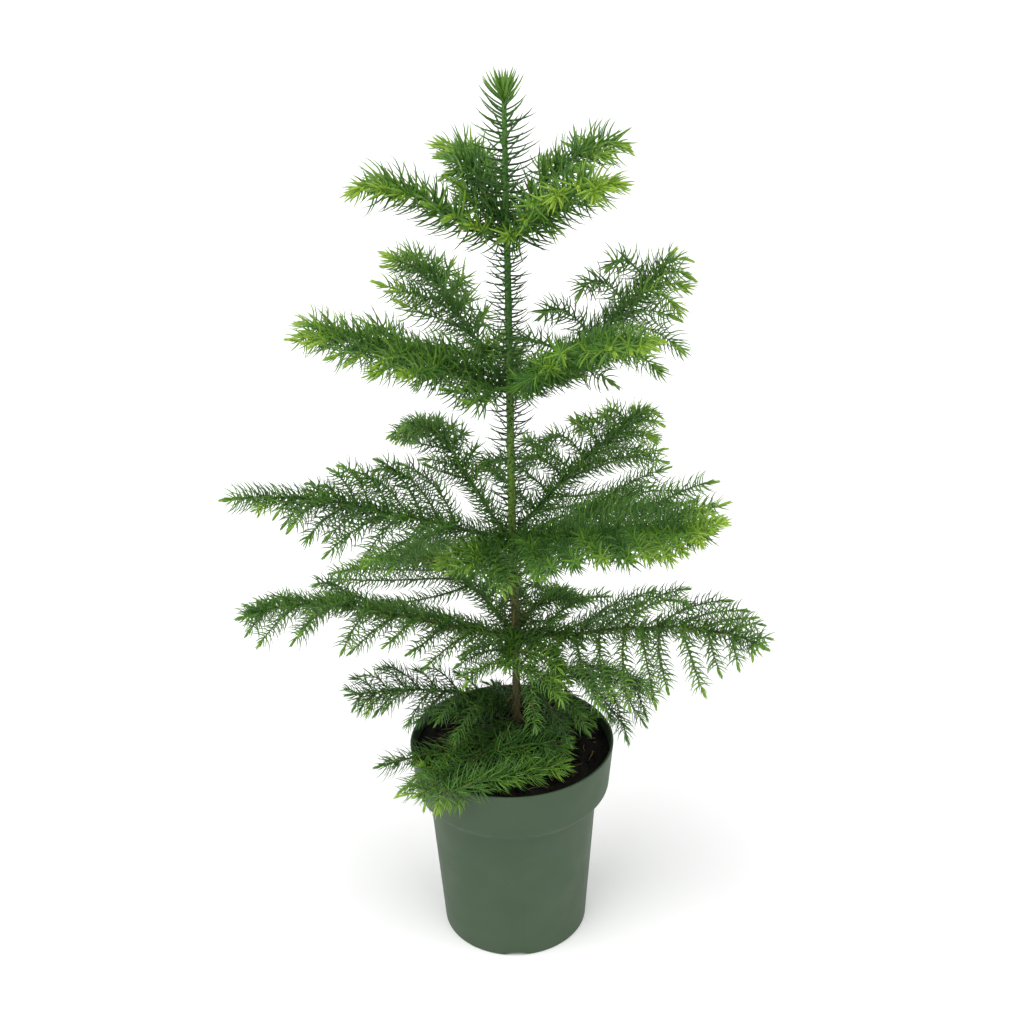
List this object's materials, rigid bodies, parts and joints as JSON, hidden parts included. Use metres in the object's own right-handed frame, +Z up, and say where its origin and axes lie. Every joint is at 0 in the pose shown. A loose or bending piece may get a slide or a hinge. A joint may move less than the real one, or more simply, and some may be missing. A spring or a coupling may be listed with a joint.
{
  "type": "potted norfolk island pine",
  "caption": "Young Norfolk Island pine in a tapered nursery pot, with tiers of flat, feathery boughs round one upright stem.",
  "frame": {"origin": "centre of the pot's flat underside", "axes": "+Z up along the stem, -Y towards the front, +X to the right seen from the front"},
  "size_m": [0.3373, 0.2653, 0.547],
  "materials": {
    "pot": "satin",
    "soil": "matte",
    "trunk": "matte",
    "bough": "matte",
    "needles": "matte"
  },
  "bodies": {
    "root": {"pot": "pot", "soil": "soil", "trunk": "trunk", "bough_1_back": "bough", "bough_1_front": "bough", "bough_1_left": "bough", "bough_1_right": "bough", "bough_2_back": "bough", "bough_2_front": "bough", "bough_2_left": "bough", "bough_2_right": "bough", "bough_3_back": "bough", "bough_3_front": "bough", "bough_3_left": "bough", "bough_3_right": "bough", "bough_4_back": "bough", "bough_4_front": "bough", "bough_4_left": "bough", "bough_4_rear": "bough", "bough_4_right": "bough", "bough_low_back_left": "bough", "bough_low_back_right": "bough", "bough_low_front": "bough", "bough_low_inner_left": "bough", "bough_low_inner_right": "bough", "bough_low_left": "bough", "bough_low_over_rim": "bough", "bough_low_right": "bough", "spray_1_back": "needles", "spray_1_front": "needles", "spray_1_left": "needles", "spray_1_right": "needles", "spray_2_back": "needles", "spray_2_front": "needles", "spray_2_left": "needles", "spray_2_right": "needles", "spray_3_back": "needles", "spray_3_front": "needles", "spray_3_left": "needles", "spray_3_right": "needles", "spray_4_back": "needles", "spray_4_front": "needles", "spray_4_left": "needles", "spray_4_rear": "needles", "spray_4_right": "needles", "spray_leader": "needles", "spray_low_back_left": "needles", "spray_low_back_right": "needles", "spray_low_fork": "needles", "spray_low_front": "needles", "spray_low_inner_left": "needles", "spray_low_inner_right": "needles", "spray_low_left": "needles", "spray_low_over_rim": "needles", "spray_low_right": "needles"}
  },
  "joints": []
}
